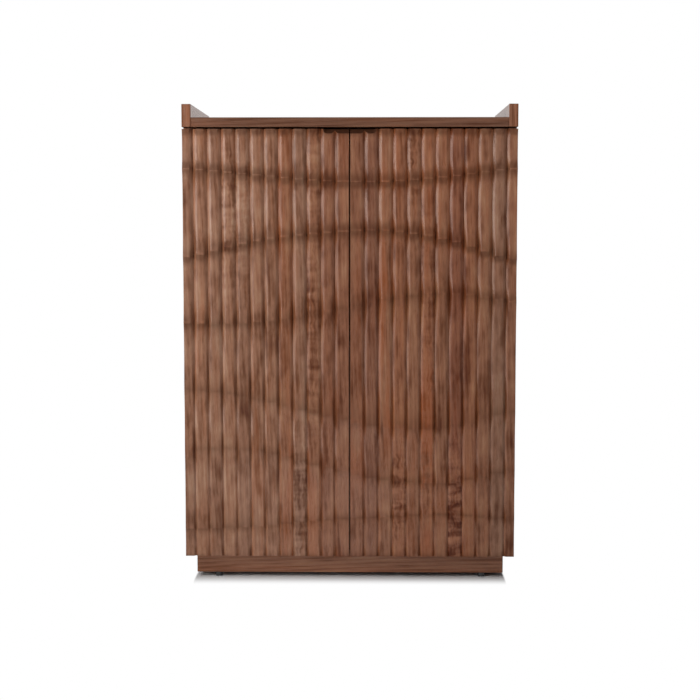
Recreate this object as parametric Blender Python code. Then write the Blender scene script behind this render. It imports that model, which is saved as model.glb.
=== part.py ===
# A two-door wine cabinet in walnut: carved stave doors, a top board between tall sides, a recessed plinth.
# Metres, +Z up. The origin is on the floor under the middle of the cabinet, and the doors face -Y.

import math

import bmesh
import bpy
from mathutils import Vector

# Overall sizes
WIDTH = 0.914
DEPTH = 0.457
GLIDE_HEIGHT = 0.012
PLINTH_HEIGHT = 0.055
DOOR_HEIGHT = 1.180
DOOR_REVEAL = 0.005
TOP_THICKNESS = 0.026
GALLERY_HEIGHT = 0.036

# Clearance between two pieces that touch, the easing of a board's edges, how far a cutter runs past its
# work, and the angle past which two faces meet in an edge
SEAT = 0.0003
EDGE_EASE = 0.0008
OVERRUN = 0.010
EDGE_ANGLE = math.radians(30)

# Case
SIDE_THICKNESS = 0.025
BOTTOM_THICKNESS = 0.020
BACK_THICKNESS = 0.009
BACK_REBATE = 0.010
SHELF_THICKNESS = 0.020
SHELF_HEIGHT = 0.577
DIVIDER_THICKNESS = 0.020

# Plinth and glides
PLINTH_THICKNESS = 0.020
PLINTH_SIDE_INSET = 0.027
PLINTH_FRONT_INSET = 0.005
PLINTH_BACK_INSET = 0.012
GLIDE_RADIUS = 0.0095
GLIDE_EASE = 0.0015
GLIDE_FROM_END = 0.060
GLIDE_SIDES = 20

# Doors: a flat panel faced with staves, each carved in shallow hollows that meet in crests
DOOR_PANEL_THICKNESS = 0.015
MEETING_GAP = 0.0034
STAVES_PER_DOOR = 12
STAVE_WOOD_STEP = 3
OUTER_STAVE_SHARE = 0.735
STAVE_THICKNESS = 0.021
GROOVE_DEPTH = 0.0127
GROOVE_BEVEL = 0.0083
CREST_RELIEF = 0.0072
HOLLOW_STEPS = 6
HOLLOW_POWER = 3.0
HOLLOW_BOTTOM_SHARE = 0.45

# Heights of the six crest lines at equal steps across the front, as shares of the door's height
CREST_LINE_SHARES = (
    (0.910, 0.896, 0.882, 0.879, 0.891, 0.910),
    (0.704, 0.740, 0.760, 0.767, 0.744, 0.699),
    (0.552, 0.554, 0.575, 0.606, 0.620, 0.601),
    (0.398, 0.379, 0.340, 0.309, 0.309, 0.347),
    (0.253, 0.254, 0.218, 0.185, 0.178, 0.206),
    (0.066, 0.071, 0.087, 0.095, 0.101, 0.090),
)
# How far the crests stand out, from a stave's top edge down to its bottom edge, as shares of the relief
CREST_RISE_SHARES = (1.0, 1.0, 1.0, 0.90, 0.62, 0.52, 0.50, 0.45)

# Finger pull, cut through both doors at the top of their meeting edges
PULL_WIDTH = 0.144
PULL_DEPTH = 0.013
PULL_CORNER = 0.011
PULL_CORNER_STEPS = 5

# Concealed hinges for thick doors: a cup let into the door's back and an arm screwed to the case side
HINGE_FROM_END = 0.100
HINGE_ABOVE_SHELF = 0.064
PIVOT_INSET = 0.008
PIVOT_DEPTH = 0.009
SWING_CLEARANCE = 0.0005
CUP_RADIUS = 0.020
CUP_TAB = 0.0035
CUP_WALL = 0.001
CUP_SIDES = 32
CUP_RIM = 0.001
CUP_RIM_THICKNESS = 0.001
WING_WIDTH = 0.016
WING_LENGTH = 0.064
WING_THICKNESS = 0.0008
PIN_RADIUS = 0.001
PIN_SIDES = 16
KNUCKLE_WALL = 0.0009
ARM_WIDTH = 0.010
ARM_PLATE = 0.002
ARM_NECK = 0.004
ARM_RISE = 0.013
ARM_RISE_START = 0.006
ARM_RISE_RUN = 0.012
ARM_LENGTH = 0.062
MOUNT_THICKNESS = 0.004
MOUNT_LENGTH = 0.030
MOUNT_SPAN = 0.048
MOUNT_START = 0.024

# Stemware rails under the top board
STEM_RAIL_COUNT = 3
STEM_RAIL_PITCH = 0.105
STEM_FLANGE_WIDTH = 0.073
STEM_FLANGE_THICKNESS = 0.008
STEM_WEB_WIDTH = 0.022
STEM_WEB_HEIGHT = 0.020
STEM_RAIL_LENGTH = 0.300
STEM_RAIL_SETBACK = 0.045

# Bottle cradles in the lower left bay: a neck rail in front and a body rail behind on each tier
CRADLE_TIERS = 2
CRADLES_PER_RAIL = 4
CRADLE_THICKNESS = 0.018
CRADLE_WEB = 0.024
CRADLE_TIER_PITCH = 0.130
BODY_RADIUS = 0.041
BODY_LIP = 0.015
NECK_RADIUS = 0.018
NECK_LIP = 0.003
NECK_RAIL_SETBACK = 0.115
RAIL_SPACING = 0.200
CRADLE_STEPS = 10

# Places worked out from those sizes
FRONT = -DEPTH / 2
BACK = DEPTH / 2
OUTSIDE = WIDTH / 2
INSIDE = OUTSIDE - SIDE_THICKNESS
CASE_UNDERSIDE = GLIDE_HEIGHT + PLINTH_HEIGHT
DOOR_TOP = CASE_UNDERSIDE + DOOR_HEIGHT
TOP_UNDERSIDE = DOOR_TOP + DOOR_REVEAL
TOP_SURFACE = TOP_UNDERSIDE + TOP_THICKNESS
HEIGHT = TOP_SURFACE + GALLERY_HEIGHT
DOOR_PANEL_FRONT = FRONT + STAVE_THICKNESS + SEAT
DOOR_BACK = DOOR_PANEL_FRONT + DOOR_PANEL_THICKNESS
# A door needs the gap that its outer back corner dips by as it swings, and a little more
DOOR_GAP = math.hypot(PIVOT_INSET, PIVOT_DEPTH) - PIVOT_DEPTH + SWING_CLEARANCE
CASE_FRONT = DOOR_BACK + DOOR_GAP
CASE_BACK_INSIDE = BACK - BACK_THICKNESS - SEAT
FLOOR_INSIDE = CASE_UNDERSIDE + BOTTOM_THICKNESS
SHELF_UNDERSIDE = CASE_UNDERSIDE + SHELF_HEIGHT
DOOR_WIDTH = (WIDTH - MEETING_GAP) / 2
STAVE_PITCH = DOOR_WIDTH / (STAVES_PER_DOOR - 1 + OUTER_STAVE_SHARE)
PIVOT_X = OUTSIDE - PIVOT_INSET
PIVOT_Y = DOOR_BACK - PIVOT_DEPTH
KNUCKLE_RADIUS = PIN_RADIUS + SEAT + KNUCKLE_WALL
CUP_DEPTH = PIVOT_DEPTH + KNUCKLE_RADIUS + SEAT + CUP_WALL
CUP_CENTRE = CUP_TAB + CUP_RADIUS - PIVOT_INSET


# Materials

def material(name, colour, roughness, metallic=0.0):
    made = bpy.data.materials.new(name)
    made.use_nodes = True
    shader = made.node_tree.nodes["Principled BSDF"]
    shader.inputs["Base Color"].default_value = (*colour, 1.0)
    shader.inputs["Roughness"].default_value = roughness
    shader.inputs["Metallic"].default_value = metallic
    return made


# Meshes

def extruded(outline, along):
    """A closed prism: the outline's face, grown along a vector."""
    shape = bmesh.new()
    face = shape.faces.new([shape.verts.new(point) for point in outline])
    grown = bmesh.ops.extrude_face_region(shape, geom=[face])
    moved = [item for item in grown["geom"] if isinstance(item, bmesh.types.BMVert)]
    bmesh.ops.translate(shape, verts=moved, vec=along)
    bmesh.ops.recalc_face_normals(shape, faces=shape.faces)
    return shape


def turned(profile, axis, sides):
    """A closed solid of revolution: a profile that starts and ends on the axis, spun once round it."""
    shape = bmesh.new()
    points = [shape.verts.new(point) for point in profile]
    edges = [shape.edges.new(pair) for pair in zip(points, points[1:])]
    bmesh.ops.spin(
        shape,
        geom=points + edges,
        cent=(0, 0, 0),
        axis=axis,
        angle=math.tau,
        steps=sides,
        use_duplicate=False,
    )
    bmesh.ops.remove_doubles(shape, verts=shape.verts, dist=SEAT / CUP_SIDES)
    bmesh.ops.recalc_face_normals(shape, faces=shape.faces)
    return shape


def rod(radius, half_length, axis, sides):
    """A round bar centred on the origin, along a unit axis, Y or Z."""
    along = Vector(axis)
    out = Vector((radius, 0, 0))
    low, high = -half_length * along, half_length * along
    return turned((low, out + low, out + high, high), axis, sides)


def box(size):
    """A box centred on the origin."""
    shape = bmesh.new()
    bmesh.ops.create_cube(shape, size=1.0)
    bmesh.ops.scale(shape, vec=size, verts=shape.verts)
    return shape


# Objects

def add(name, shape, place, finish, parent=None):
    """A named object with the shape's mesh, at a place in the cabinet."""
    mesh = bpy.data.meshes.new(name)
    shape.to_mesh(mesh)
    shape.free()
    return add_copy(name, mesh, place, finish, parent)


def add_copy(name, mesh, place, finish, parent=None):
    made = bpy.data.objects.new(name, mesh)
    if finish and not mesh.materials:
        mesh.materials.append(finish)
    made.parent = parent
    made.location = Vector(place) - (parent.location if parent else Vector())
    bpy.context.scene.collection.objects.link(made)
    return made


def helper(name, shape, place):
    """A cutting or joining shape, which isn't a piece of the cabinet."""
    made = add(name, shape, place, None)
    made.hide_render = True
    made.display_type = "WIRE"
    return made


def combine(target, other, operation):
    step = target.modifiers.new(other.name, "BOOLEAN")
    step.operation = operation
    step.object = other
    step.solver = "EXACT"


def ease_edges(target, width=EDGE_EASE):
    step = target.modifiers.new("eased edges", "BEVEL")
    step.width = width
    step.segments = 1
    step.limit_method = "ANGLE"


def smooth_rounds(target):
    target.data.shade_smooth()
    target.data.set_sharp_from_angle(angle=EDGE_ANGLE)


def board(name, low, high, finish, parent=None):
    """A plain board between two corners, with eased edges."""
    low, high = Vector(low), Vector(high)
    made = add(name, box(high - low), (low + high) / 2, finish, parent)
    ease_edges(made)
    return made


def arc(centre, radius, start, end, steps):
    """Points in a plane, from one angle to another."""
    angles = [start + (end - start) * step / steps for step in range(steps + 1)]
    return [(centre[0] + radius * math.cos(a), centre[1] + radius * math.sin(a)) for a in angles]


# Case

def side_panel(name, side, finish):
    """A side, cut back below the top board for the door over its front edge, and rebated for the back."""
    outline = (
        (0, CASE_FRONT, CASE_UNDERSIDE),
        (0, BACK, CASE_UNDERSIDE),
        (0, BACK, HEIGHT),
        (0, FRONT, HEIGHT),
        (0, FRONT, TOP_UNDERSIDE),
        (0, CASE_FRONT, TOP_UNDERSIDE),
    )
    centre = Vector((side * (OUTSIDE + INSIDE) / 2, 0, 0))
    shape = extruded([Vector(point) for point in outline], (SIDE_THICKNESS, 0, 0))
    bmesh.ops.translate(shape, verts=shape.verts, vec=(-SIDE_THICKNESS / 2, 0, 0))
    made = add(name, shape, centre, finish)
    ease_edges(made)
    rebate_size = (
        BACK_REBATE + OVERRUN,
        BACK_THICKNESS + SEAT + OVERRUN,
        TOP_UNDERSIDE - CASE_UNDERSIDE + OVERRUN,
    )
    rebate_place = (
        side * (INSIDE + BACK_REBATE - rebate_size[0] / 2),
        BACK - BACK_THICKNESS - SEAT + rebate_size[1] / 2,
        TOP_UNDERSIDE - rebate_size[2] / 2,
    )
    combine(made, helper(name + "_rebate", box(rebate_size), rebate_place), "DIFFERENCE")
    return made


def case(wood, lining):
    side_panel("left_side_panel", -1, wood)
    side_panel("right_side_panel", 1, wood)
    reach = INSIDE - SEAT
    board("top_panel", (-reach, FRONT, TOP_UNDERSIDE), (reach, BACK, TOP_SURFACE), wood)
    board(
        "bottom_panel",
        (-reach, CASE_FRONT, CASE_UNDERSIDE),
        (reach, CASE_BACK_INSIDE, FLOOR_INSIDE),
        lining,
    )
    back_reach = INSIDE + BACK_REBATE - SEAT
    board(
        "back_panel",
        (-back_reach, BACK - BACK_THICKNESS, CASE_UNDERSIDE),
        (back_reach, BACK, TOP_UNDERSIDE - SEAT),
        lining,
    )
    board(
        "fixed_shelf",
        (-reach, CASE_FRONT, SHELF_UNDERSIDE),
        (reach, CASE_BACK_INSIDE, SHELF_UNDERSIDE + SHELF_THICKNESS),
        lining,
    )
    board(
        "lower_divider",
        (-DIVIDER_THICKNESS / 2, CASE_FRONT, FLOOR_INSIDE + SEAT),
        (DIVIDER_THICKNESS / 2, CASE_BACK_INSIDE, SHELF_UNDERSIDE - SEAT),
        lining,
    )


# Plinth and glides

def plinth(wood, plastic):
    """A frame of four boards under the case, set in at the front and sides, on four glides."""
    reach = OUTSIDE - PLINTH_SIDE_INSET
    front = CASE_FRONT + PLINTH_FRONT_INSET
    back = BACK - PLINTH_BACK_INSET
    low, high = GLIDE_HEIGHT, CASE_UNDERSIDE - SEAT
    board("plinth_front", (-reach, front, low), (reach, front + PLINTH_THICKNESS, high), wood)
    board("plinth_back", (-reach, back - PLINTH_THICKNESS, low), (reach, back, high), wood)
    side_front = front + PLINTH_THICKNESS + SEAT
    side_back = back - PLINTH_THICKNESS - SEAT
    board("plinth_left", (-reach, side_front, low), (PLINTH_THICKNESS - reach, side_back, high), wood)
    board("plinth_right", (reach - PLINTH_THICKNESS, side_front, low), (reach, side_back, high), wood)
    profile = (
        (0, 0, 0),
        (GLIDE_RADIUS - GLIDE_EASE, 0, 0),
        (GLIDE_RADIUS, 0, GLIDE_EASE),
        (GLIDE_RADIUS, 0, GLIDE_HEIGHT - SEAT),
        (0, 0, GLIDE_HEIGHT - SEAT),
    )
    rows = (("front", front + PLINTH_THICKNESS / 2), ("back", back - PLINTH_THICKNESS / 2))
    for row, y in rows:
        for side_name, side in (("left", -1), ("right", 1)):
            place = (side * (reach - GLIDE_FROM_END), y, 0)
            made = add(f"glide_{row}_{side_name}", turned(profile, (0, 0, 1), GLIDE_SIDES), place, plastic)
            smooth_rounds(made)


# Doors

def crest_height(line_shares, across):
    """Height of a crest line above the door's bottom, on a smooth curve through its shares."""
    place = across * (len(line_shares) - 1)
    index = min(int(place), len(line_shares) - 2)
    t = place - index
    before = line_shares[max(index - 1, 0)]
    a, b = line_shares[index], line_shares[index + 1]
    after = line_shares[min(index + 2, len(line_shares) - 1)]
    slope = b - before
    bow = 2 * before - 5 * a + 4 * b - after
    twist = 3 * (a - b) + after - before
    return DOOR_HEIGHT * (a + (slope * t + bow * t**2 + twist * t**3) / 2)


def carved_stations(across):
    """Heights up a stave and how far its face lies behind the highest crests there, from the top down."""
    crests = [DOOR_HEIGHT] + [crest_height(line, across) for line in CREST_LINE_SHARES] + [0]
    rises = CREST_RISE_SHARES
    skew = math.log(1 / 2) / math.log(HOLLOW_BOTTOM_SHARE)
    stations = [(DOOR_HEIGHT, CREST_RELIEF * (1 - rises[0]))]
    for upper, lower, upper_rise, lower_rise in zip(crests, crests[1:], rises, rises[1:]):
        for step in range(1, HOLLOW_STEPS + 1):
            down = (1 - math.cos(math.pi * step / HOLLOW_STEPS)) / 2
            crest = abs(2 * down**skew - 1) ** HOLLOW_POWER
            rise = upper_rise + (lower_rise - upper_rise) * down
            stations.append((upper + (lower - upper) * down, CREST_RELIEF * (1 - crest * rise)))
    return stations


def bevel_faces(shape, face_edge, groove_line):
    """The twisting bevel between a face's wavy edge and the straight groove, in fans from each crest."""
    for row, (upper, lower) in enumerate(zip(groove_line, groove_line[1:])):
        start = row * HOLLOW_STEPS
        middle = start + HOLLOW_STEPS // 2
        for step in range(start, start + HOLLOW_STEPS):
            fan = upper if step < middle else lower
            shape.faces.new((fan, face_edge[step], face_edge[step + 1]))
        shape.faces.new((upper, face_edge[middle], lower))


def stave_mesh(left, right, across, groove_left, groove_right):
    """A stave: a flat back, a carved face and bevels down into the grooves shared with its neighbours."""
    shape = bmesh.new()
    stations = carved_stations(across)
    ends = (DOOR_HEIGHT, 0)
    face_edges, back_edges, groove_lines = [], [], []
    for edge, inward, grooved in ((left, 1, groove_left), (right, -1, groove_right)):
        face_x = edge + (inward * GROOVE_BEVEL if grooved else 0)
        groove_heights = [z for z, _ in stations[::HOLLOW_STEPS]] if grooved else []
        face_edge = [shape.verts.new((face_x, depth, z)) for z, depth in stations]
        back_edge = [shape.verts.new((edge, STAVE_THICKNESS, z)) for z in ends]
        groove_line = [shape.verts.new((edge, GROOVE_DEPTH, z)) for z in groove_heights]
        if grooved:
            bevel_faces(shape, face_edge, groove_line)
        shape.faces.new((groove_line or face_edge) + back_edge[::-1])
        face_edges.append(face_edge)
        back_edges.append(back_edge)
        groove_lines.append(groove_line)

    face_left, face_right = face_edges
    back_left, back_right = back_edges
    for step in range(len(stations) - 1):
        shape.faces.new((face_left[step], face_left[step + 1], face_right[step + 1], face_right[step]))
    shape.faces.new((back_left[0], back_left[1], back_right[1], back_right[0]))
    for end in (0, -1):
        rim = [back_left[end]] + [line[end] for line in groove_lines[:1] if line] + [face_left[end]]
        rim += [face_right[end]] + [line[end] for line in groove_lines[1:] if line] + [back_right[end]]
        shape.faces.new(rim)
    bmesh.ops.recalc_face_normals(shape, faces=shape.faces)
    return shape


def stave_edges():
    """The staves' edges from a door's outer edge to its meeting edge: a narrow one, then equal ones."""
    edges = [0.0]
    for index in range(STAVES_PER_DOOR):
        edges.append(edges[-1] + STAVE_PITCH * (OUTER_STAVE_SHARE if index == 0 else 1))
    return edges


def pull_cutter():
    """The finger pull's outline, with rounded lower corners, run through the doors' thickness."""
    half, low, corner = PULL_WIDTH / 2, DOOR_TOP - PULL_DEPTH, PULL_CORNER
    right = arc((half - corner, low + corner), corner, -math.pi / 2, 0, PULL_CORNER_STEPS)
    left = arc((corner - half, low + corner), corner, -math.pi, -math.pi / 2, PULL_CORNER_STEPS)
    outline = left + right + [(half, DOOR_TOP + OVERRUN), (-half, DOOR_TOP + OVERRUN)]
    start = FRONT - OVERRUN
    reach = DOOR_BACK - FRONT + 2 * OVERRUN
    shape = extruded([Vector((x, start, z)) for x, z in outline], (0, reach, 0))
    return helper("pull_cutter", shape, (0, 0, 0))


def door(side_name, side, pull, woods, panel_wood, steel, hinge_meshes):
    """One door: its panel, staves and hinge cups, all carried by an empty on the hinge axis."""
    axis = bpy.data.objects.new(f"{side_name}_door_axis", None)
    axis.location = (side * PIVOT_X, PIVOT_Y, CASE_UNDERSIDE)
    bpy.context.scene.collection.objects.link(axis)

    outer, meeting = side * OUTSIDE, side * MEETING_GAP / 2
    panel = board(
        f"{side_name}_door_panel",
        (min(outer, meeting), DOOR_PANEL_FRONT, CASE_UNDERSIDE),
        (max(outer, meeting), DOOR_BACK, DOOR_TOP),
        panel_wood,
        axis,
    )
    combine(panel, pull, "DIFFERENCE")

    edges = stave_edges()
    for index in range(STAVES_PER_DOOR):
        last = index == STAVES_PER_DOOR - 1
        near = edges[index] + (0 if index == 0 else SEAT / 2)
        far = edges[index + 1] - (0 if last else SEAT / 2)
        centre = side * (OUTSIDE - (near + far) / 2)
        half = (far - near) / 2
        grooves = (index > 0, not last) if side < 0 else (not last, index > 0)
        shape = stave_mesh(-half, half, (centre + OUTSIDE) / WIDTH, *grooves)
        finish = woods[(STAVE_WOOD_STEP * index + 1 + side) % len(woods)]
        place = (centre, FRONT, CASE_UNDERSIDE)
        stave = add(f"{side_name}_stave_{index + 1:02d}", shape, place, finish, axis)
        if OUTSIDE - edges[index + 1] < PULL_WIDTH / 2:
            combine(stave, pull, "DIFFERENCE")

    bore = rod(CUP_RADIUS + SEAT, (CUP_DEPTH + SEAT + OVERRUN) / 2, (0, 1, 0), CUP_SIDES)
    bore_mesh = bpy.data.meshes.new("cup_bore")
    bore.to_mesh(bore_mesh)
    bore.free()
    heights = (
        ("lower", CASE_UNDERSIDE + HINGE_FROM_END),
        ("middle", SHELF_UNDERSIDE + SHELF_THICKNESS + HINGE_ABOVE_SHELF),
        ("upper", DOOR_TOP - HINGE_FROM_END),
    )
    for level, z in heights:
        bore_place = (
            side * (PIVOT_X - CUP_CENTRE),
            DOOR_BACK - CUP_DEPTH - SEAT + (CUP_DEPTH + SEAT + OVERRUN) / 2,
            z,
        )
        cutter = add_copy(f"{side_name}_cup_bore_{level}", bore_mesh, bore_place, None)
        cutter.hide_render = True
        cutter.display_type = "WIRE"
        combine(panel, cutter, "DIFFERENCE")
        pivot = (side * PIVOT_X, PIVOT_Y, z)
        cup = add_copy(f"{side_name}_hinge_cup_{level}", hinge_meshes["cup"], pivot, steel, axis)
        arm = add_copy(f"{side_name}_hinge_arm_{level}", hinge_meshes["arm"], pivot, steel)
        # Both are alike above and below, so half a turn about Y makes the other hand
        if side > 0:
            cup.rotation_euler.y = math.pi
            arm.rotation_euler.y = math.pi
    return axis


# Hinges, drawn for the left door with the pivot at the origin and the door's inside towards +X

def finished_mesh(shaped, name):
    """The mesh that a piece's modifiers give, for its copies to share; the piece and its helpers go."""
    graph = bpy.context.evaluated_depsgraph_get()
    mesh = bpy.data.meshes.new_from_object(shaped.evaluated_get(graph))
    mesh.name = name
    helpers = [step.object for step in shaped.modifiers if step.type == "BOOLEAN"]
    for spent in [shaped] + helpers:
        bpy.data.objects.remove(spent, do_unlink=True)
    mesh.shade_smooth()
    mesh.set_sharp_from_angle(angle=EDGE_ANGLE)
    return mesh


def hinge_cup_mesh(steel):
    """A drawn cup with a rim and two screw wings, and the pin across it that the arm turns on."""
    rim_under = PIVOT_DEPTH + SEAT
    rim_top = rim_under + CUP_RIM_THICKNESS
    floor = PIVOT_DEPTH - CUP_DEPTH
    profile = (
        (0, floor, 0),
        (CUP_RADIUS, floor, 0),
        (CUP_RADIUS, rim_under, 0),
        (CUP_RADIUS + CUP_RIM, rim_under, 0),
        (CUP_RADIUS + CUP_RIM, rim_top, 0),
        (0, rim_top, 0),
    )
    shape = turned(profile, (0, 1, 0), CUP_SIDES)
    bmesh.ops.translate(shape, verts=shape.verts, vec=(CUP_CENTRE, 0, 0))
    cup = add("cup_shape", shape, (0, 0, 0), steel)
    wing_place = (CUP_CENTRE, rim_under + WING_THICKNESS / 2, 0)
    combine(cup, helper("wings", box((WING_WIDTH, WING_THICKNESS, WING_LENGTH)), wing_place), "UNION")
    hollow_half = (CUP_DEPTH - CUP_WALL + OVERRUN) / 2
    hollow = rod(CUP_RADIUS - CUP_WALL, hollow_half, (0, 1, 0), CUP_SIDES)
    hollow_place = (CUP_CENTRE, floor + CUP_WALL + hollow_half, 0)
    combine(cup, helper("hollow", hollow, hollow_place), "DIFFERENCE")
    # The pin's ends stand half way into the cup's wall
    mid_wall = CUP_RADIUS - CUP_WALL / 2
    pin_half = math.sqrt(mid_wall**2 - CUP_CENTRE**2)
    combine(cup, helper("pin", rod(PIN_RADIUS, pin_half, (0, 0, 1), PIN_SIDES), (0, 0, 0)), "UNION")
    return finished_mesh(cup, "hinge_cup")


def hinge_arm_mesh(steel):
    """An arm with a rolled eye round the pin, a neck past the side's front edge and a plate on its face."""
    case_front = PIVOT_DEPTH + DOOR_GAP
    seat_face = SIDE_THICKNESS - PIVOT_INSET + SEAT
    plate_top = ARM_PLATE - KNUCKLE_RADIUS
    eye_end = math.asin(plate_top / KNUCKLE_RADIUS)
    eye = arc((0, 0), KNUCKLE_RADIUS, -math.pi / 2, eye_end - math.tau, PIN_SIDES)
    outline = eye[::-1] + [
        (seat_face + ARM_NECK, -KNUCKLE_RADIUS),
        (seat_face + ARM_NECK, case_front + ARM_RISE_START),
        (seat_face + ARM_RISE, case_front + ARM_RISE_START + ARM_RISE_RUN),
        (seat_face + ARM_RISE, case_front + ARM_LENGTH),
        (seat_face, case_front + ARM_LENGTH),
        (seat_face, plate_top),
    ]
    shape = extruded([Vector((x, y, -ARM_WIDTH / 2)) for x, y in outline], (0, 0, ARM_WIDTH))
    arm = add("arm_shape", shape, (0, 0, 0), steel)
    bore = rod(PIN_RADIUS + SEAT, ARM_WIDTH / 2 + OVERRUN, (0, 0, 1), PIN_SIDES)
    combine(arm, helper("eye_bore", bore, (0, 0, 0)), "DIFFERENCE")
    plate_place = (seat_face + MOUNT_THICKNESS / 2, case_front + MOUNT_START + MOUNT_LENGTH / 2, 0)
    plate = box((MOUNT_THICKNESS, MOUNT_LENGTH, MOUNT_SPAN))
    combine(arm, helper("mounting_plate", plate, plate_place), "UNION")
    return finished_mesh(arm, "hinge_arm")


# Racks

def stemware_rails(wood):
    """T-shaped rails under the top board: the feet of glasses slide between them, over their flanges."""
    web, flange = STEM_WEB_WIDTH / 2, STEM_FLANGE_WIDTH / 2
    low = -STEM_WEB_HEIGHT - STEM_FLANGE_THICKNESS
    outline = (
        (-web, 0),
        (-web, -STEM_WEB_HEIGHT),
        (-flange, -STEM_WEB_HEIGHT),
        (-flange, low),
        (flange, low),
        (flange, -STEM_WEB_HEIGHT),
        (web, -STEM_WEB_HEIGHT),
        (web, 0),
    )
    first = -STEM_RAIL_PITCH * (STEM_RAIL_COUNT - 1) / 2
    for index in range(STEM_RAIL_COUNT):
        shape = extruded([Vector((x, 0, z)) for x, z in outline], (0, STEM_RAIL_LENGTH, 0))
        place = (first + index * STEM_RAIL_PITCH, CASE_FRONT + STEM_RAIL_SETBACK, TOP_UNDERSIDE - SEAT)
        made = add(f"stemware_rail_{index + 1}", shape, place, wood)
        ease_edges(made)


def cradle_rail(name, radius, lip, y, axis_height, wood):
    """A rail across the lower left bay whose top edge is hollowed for a row of bottles."""
    left, right = -INSIDE + SEAT, -DIVIDER_THICKNESS / 2 - SEAT
    pitch = (right - left) / CRADLES_PER_RAIL
    half_open = math.acos(lip / radius)
    outline = [(left, -radius - CRADLE_WEB), (right, -radius - CRADLE_WEB), (right, -lip)]
    for index in reversed(range(CRADLES_PER_RAIL)):
        centre = left + pitch * (index + 1 / 2)
        down = -math.pi / 2
        outline += arc((centre, 0), radius, down + half_open, down - half_open, CRADLE_STEPS)
    outline.append((left, -lip))
    shape = extruded([Vector((x, 0, z)) for x, z in outline], (0, CRADLE_THICKNESS, 0))
    add(name, shape, (0, y - CRADLE_THICKNESS / 2, axis_height), wood)


def bottle_cradles(wood):
    lowest_axis = FLOOR_INSIDE + SEAT + BODY_RADIUS + CRADLE_WEB
    neck_y = CASE_FRONT + NECK_RAIL_SETBACK
    body_y = neck_y + RAIL_SPACING
    for tier, tier_name in zip(range(CRADLE_TIERS), ("lower", "upper")):
        axis_height = lowest_axis + tier * CRADLE_TIER_PITCH
        cradle_rail(f"neck_rail_{tier_name}", NECK_RADIUS, NECK_LIP, neck_y, axis_height, wood)
        cradle_rail(f"body_rail_{tier_name}", BODY_RADIUS, BODY_LIP, body_y, axis_height, wood)


def main():
    for old in list(bpy.data.objects):
        bpy.data.objects.remove(old, do_unlink=True)

    case_wood = material("walnut_case", (0.165, 0.078, 0.047), 0.45)
    lining = material("walnut_lining", (0.130, 0.070, 0.045), 0.55)
    stave_woods = (
        material("walnut_stave_brown", (0.225, 0.120, 0.072), 0.42),
        material("walnut_stave_pale", (0.275, 0.165, 0.105), 0.42),
        material("walnut_stave_red", (0.235, 0.100, 0.060), 0.42),
        material("walnut_stave_grey", (0.215, 0.135, 0.092), 0.42),
    )
    plinth_wood = material("walnut_plinth", (0.190, 0.100, 0.060), 0.48)
    rack_wood = material("walnut_rack", (0.240, 0.135, 0.080), 0.50)
    steel = material("nickelled_steel", (0.62, 0.61, 0.59), 0.28, 1.0)
    nylon = material("black_nylon", (0.02, 0.02, 0.02), 0.50)

    case(case_wood, lining)
    plinth(plinth_wood, nylon)
    hinge_meshes = {"cup": hinge_cup_mesh(steel), "arm": hinge_arm_mesh(steel)}
    pull = pull_cutter()
    for side_name, side in (("left", -1), ("right", 1)):
        door(side_name, side, pull, stave_woods, lining, steel, hinge_meshes)
    stemware_rails(rack_wood)
    bottle_cradles(rack_wood)


main()
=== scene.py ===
import math
import bmesh
import bpy
from mathutils import Matrix, Vector


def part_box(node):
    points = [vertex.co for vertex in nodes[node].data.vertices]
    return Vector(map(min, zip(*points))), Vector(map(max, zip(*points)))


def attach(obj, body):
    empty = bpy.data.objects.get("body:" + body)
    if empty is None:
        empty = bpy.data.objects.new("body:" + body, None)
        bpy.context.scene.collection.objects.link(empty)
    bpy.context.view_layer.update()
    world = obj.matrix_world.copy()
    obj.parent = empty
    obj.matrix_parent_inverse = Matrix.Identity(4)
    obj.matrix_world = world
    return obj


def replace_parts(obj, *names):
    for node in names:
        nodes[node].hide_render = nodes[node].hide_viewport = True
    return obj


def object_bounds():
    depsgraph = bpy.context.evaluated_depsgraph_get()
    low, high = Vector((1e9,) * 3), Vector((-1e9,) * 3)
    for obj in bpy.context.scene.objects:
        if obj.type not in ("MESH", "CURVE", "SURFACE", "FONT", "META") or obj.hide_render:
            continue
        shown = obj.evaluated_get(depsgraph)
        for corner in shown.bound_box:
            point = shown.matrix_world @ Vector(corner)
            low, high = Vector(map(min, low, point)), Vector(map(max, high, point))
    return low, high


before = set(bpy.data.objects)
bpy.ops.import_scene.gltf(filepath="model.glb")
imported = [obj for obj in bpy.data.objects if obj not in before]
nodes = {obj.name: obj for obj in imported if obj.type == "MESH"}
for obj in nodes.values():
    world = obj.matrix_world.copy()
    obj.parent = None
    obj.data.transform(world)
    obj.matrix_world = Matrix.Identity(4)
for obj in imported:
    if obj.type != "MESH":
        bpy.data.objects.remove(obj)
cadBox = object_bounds()
print("cabinet loaded:", len(nodes), "pieces")


# Short ways to add nodes, for materials and for shaping alike

def put(tree, kind, inputs=None, **options):
    node = tree.nodes.new(kind)
    for option, value in options.items():
        setattr(node, option, value)
    for key, value in (inputs or {}).items():
        if isinstance(value, bpy.types.NodeSocket):
            tree.links.new(value, node.inputs[key])
        else:
            node.inputs[key].default_value = value
    return node


def calc(tree, operation, *values):
    return put(tree, "ShaderNodeMath", dict(enumerate(values)), operation=operation).outputs[0]


def blendNumbers(tree, share, first, second):
    return put(tree, "ShaderNodeMix", {0: share, 2: first, 3: second}, data_type="FLOAT").outputs[0]


def blendColours(tree, share, first, second, way="MIX"):
    values = {0: share, 6: first, 7: second}
    return put(tree, "ShaderNodeMix", values, data_type="RGBA", blend_type=way).outputs[2]


def split(tree, vector):
    return put(tree, "ShaderNodeSeparateXYZ", {0: vector}).outputs


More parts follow.
